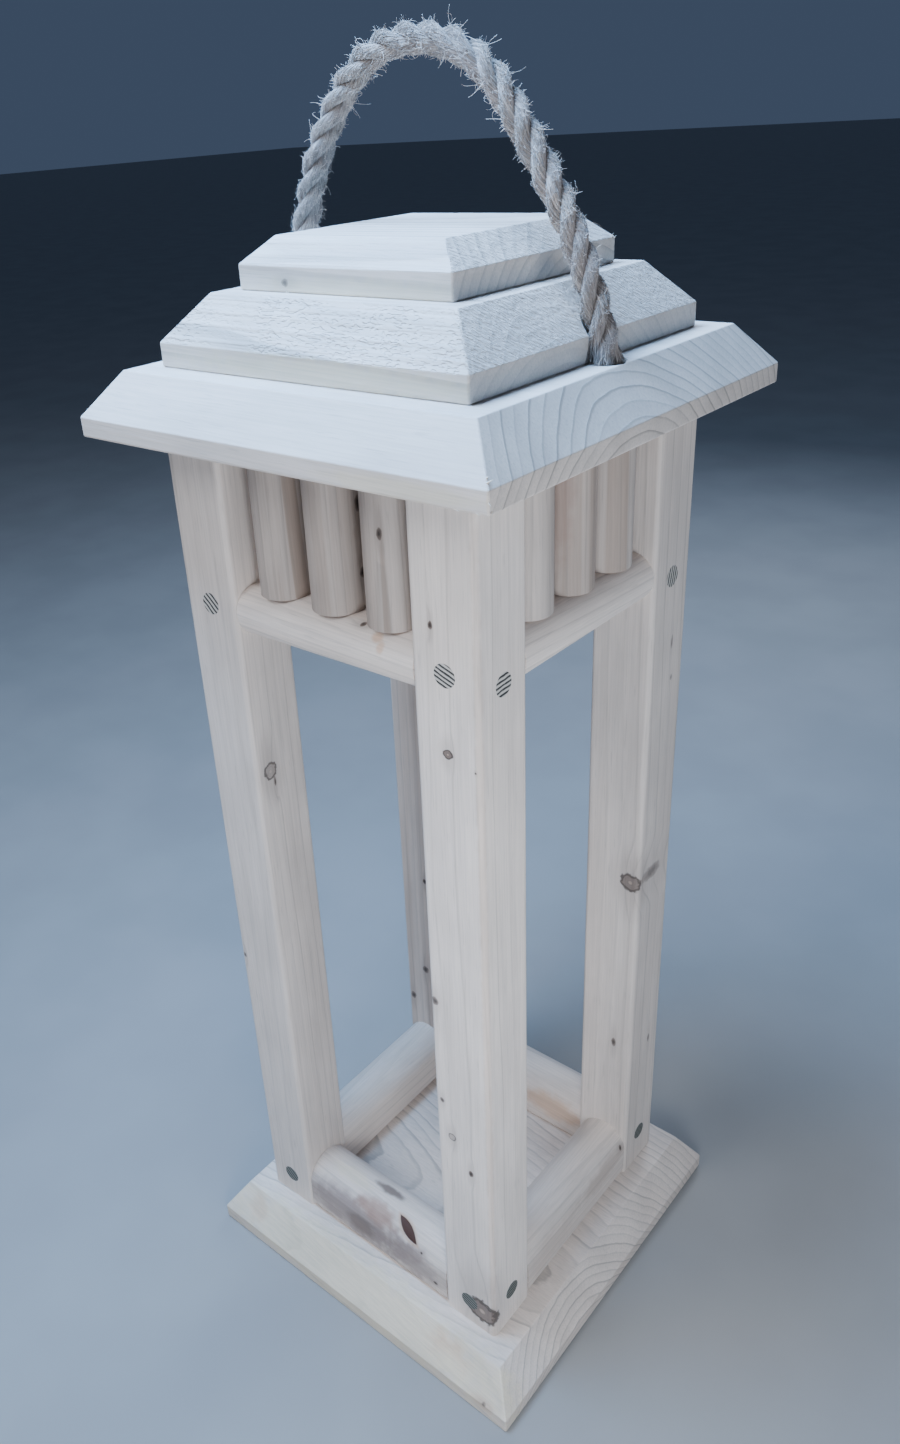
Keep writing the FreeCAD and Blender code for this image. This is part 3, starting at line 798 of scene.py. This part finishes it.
def add_surface_fibres(rope, tubes, count, shortest, longest, stray):
    """Single fibres that lie on the strands; stray is how far they leave the yarns' lay."""
    number = 12
    share = np.linspace(0, 1, number)
    strand = rng.integers(STRANDS, size=(count, 1))
    length = rng.uniform(shortest, longest, (count, 1))
    start = rng.uniform(0.022, rope.length - 0.022 - length)
    along = start + length * share
    slip = 2 * np.pi * (start - along) * (1 / YARN_LAY + 1 / ROPE_LAY)
    wander = rng.normal(0, stray, (count, 1)) * share
    wander = wander + rng.normal(0, 0.3 * stray, (count, 1)) * np.sin(5 * share)
    angle = rope.turn(along, strand) + rng.uniform(-1.3, 1.3, (count, 1)) + slip + wander
    lift = np.linspace(-1, 1, number) ** 4 * rng.uniform(0.0, 0.0008, (count, 1))
    offset = YARN_OFFSET + YARN_RADIUS * rng.uniform(0.92, 1.15, (count, 1)) + lift
    paths = rope.on_strand(along, strand, angle, offset)
    tubes.add(paths, rng.uniform(0.00008, 0.00017, (count, 1)), 3, rng.uniform(0.2, 1.0, count))


def add_stray_fibres(rope, tubes, count, shortest, longest, thickness):
    """Loose curling fibres that stand off the rope."""
    number = 8
    length = shortest + (longest - shortest) * rng.random((count, 1)) ** 2.5
    along = rng.uniform(0.026, rope.length - 0.026, count)
    strand = rng.integers(STRANDS, size=count)
    angle = rope.turn(along, strand) + rng.uniform(-1.3, 1.3, count)
    point = rope.on_strand(along, strand, angle, YARN_OFFSET + 0.6 * YARN_RADIUS)
    outward = unit(point - rope.at(along, rope.line))
    forward = rope.axes(along)[0] * rng.choice((-1, 1), (count, 1))
    heading = forward * rng.uniform(0.1, 1.3, (count, 1)) + outward * rng.uniform(0.4, 1.2, (count, 1))
    heading = unit(heading + rng.normal(0, 0.35, (count, 3)))
    curl = rng.normal(0, 1, (count, 3)) * rng.uniform(40, 260, (count, 1))
    paths = [point]
    for _ in range(number - 1):
        heading = unit(heading + np.cross(curl, heading) * length / (number - 1))
        paths.append(paths[-1] + heading * length / (number - 1))
    radius = thickness * rng.uniform(0.7, 1.3, (count, 1)) * np.linspace(1.0, 0.5, number)
    tubes.add(np.stack(paths, axis=1), radius, 3, rng.uniform(0.5, 1.0, count))


def add_foot_fray(rope, tubes, count):
    """Cut fibres that fan out over the board round each foot."""
    foot = EAVES_TOP - rope.line[0][2]
    for at_end in (False, True):
        along = foot + rng.uniform(0.001, 0.016, count)
        if at_end:
            along = rope.length - along
        strand = rng.integers(STRANDS, size=count)
        angle = rope.turn(along, strand) + rng.uniform(-1.2, 1.2, count)
        root = rope.on_strand(along, strand, angle, YARN_OFFSET + 0.6 * YARN_RADIUS)[:, None]
        outward = unit((root - rope.at(along, rope.line)[:, None]) * (1, 1, 0))
        drop = (root[..., 2:] - EAVES_TOP - 0.0002) * (0, 0, 1)
        share = np.linspace(0, 1, 6)[:, None]
        paths = root + outward * rng.uniform(0.0010, 0.0045, (count, 1, 1)) * share ** 1.6 - drop * share
        paths = paths + rng.normal(0, 0.00012, paths.shape) * share
        tubes.add(paths, rng.uniform(0.00007, 0.00015, (count, 1)), 3, rng.uniform(0.3, 0.9, count))


def make_rope():
    material = rope_material("jute", 1.0)
    rope = Rope()
    body = Tubes()
    add_yarns(rope, body)
    add_surface_fibres(rope, body, 3000, 0.010, 0.034, 0.15)
    add_surface_fibres(rope, body, 2600, 0.004, 0.010, 1.1)
    rope_piece = body.build("rope", material)
    loose = Tubes()
    add_stray_fibres(rope, loose, 460, 0.003, 0.012, 0.00013)
    add_stray_fibres(rope, loose, 4600, 0.0012, 0.0044, 0.00011)
    add_foot_fray(rope, loose, 260)
    # The loose fibres are painted 1.7 times as bright as the rope's body: a painted highlight for the light
    # that catches the fuzz round the rope.
    fibres = loose.build("rope_stray_fibres", rope_material("jute_fibres", 1.7))
    for piece in (rope_piece, fibres):
        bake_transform(piece)
    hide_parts("rope_handle", "rope_foot_left", "rope_foot_right")


# ------------------------------------------------------- floor and light

FLOOR_REACH = 30


def make_floor():
    material, graph, shader = new_material("floor")
    point = graph.add("ShaderNodeTexCoord").outputs["Object"]
    mottle = graph.noise(point, 6, detail=3.0)
    pale = graph.blend(graph.step(mottle, 0.3, 0.7), colour(0.28, 0.276, 0.268), colour(0.31, 0.306, 0.297))
    graph.feed(shader.inputs["Base Color"], pale)
    shader.inputs["Roughness"].default_value = 0.8
    mesh = bpy.data.meshes.new("floor")
    corners = [(x * FLOOR_REACH, y * FLOOR_REACH, 0) for x, y in ((-1, -1), (1, -1), (1, 1), (-1, 1))]
    mesh.from_pydata(corners, [], [(0, 1, 2, 3)])
    mesh.materials.append(material)
    floor = bpy.data.objects.new("floor", mesh)
    bpy.context.collection.objects.link(floor)


# Place, width, power and colour of each soft light
LIGHTS = {
    "above": ((-0.20, -0.16, 1.38), 0.5, 31, (0.28, 0.55, 1.0)),
    "back": ((-0.40, 1.60, 1.40), 1.0, 20, (0.62, 0.76, 1.0)),
    "high_front": ((-0.45, -1.40, 1.90), 1.0, 22, (0.84, 0.90, 1.0)),
    "near": ((0.44, -0.46, 0.42), 0.25, 3.0, (0.80, 0.88, 1.0)),
    "front": ((0.10, -0.95, 0.60), 0.4, 0.4, (1.0, 0.95, 0.92)),
    "right": ((0.95, -0.15, 0.45), 0.4, 2.2, (0.80, 0.89, 1.0)),
}
LIGHT_AIM = Vector((0, 0, 0.40))
WORLD_TINT = colour(0.42, 0.60, 1.0)
WORLD_STRENGTH = 0.12


def make_light():
    for name, (place, size, power, tint) in LIGHTS.items():
        data = bpy.data.lights.new(name, "AREA")
        data.shape = "DISK"
        data.size = size
        data.energy = power
        data.color = tint
        light = bpy.data.objects.new(name, data)
        light.location = place
        aim = LIGHT_AIM - light.location
        light.rotation_euler = aim.to_track_quat("-Z", "Y").to_euler()
        bpy.context.collection.objects.link(light)
    world = bpy.data.worlds.new("studio")
    world.use_nodes = True
    background = world.node_tree.nodes["Background"]
    background.inputs["Color"].default_value = WORLD_TINT
    background.inputs["Strength"].default_value = WORLD_STRENGTH
    bpy.context.scene.world = world


make_camera()
make_rope()
make_splinters()
paint_boards()
paint_posts()
paint_bars()
paint_screws()
make_floor()
make_light()
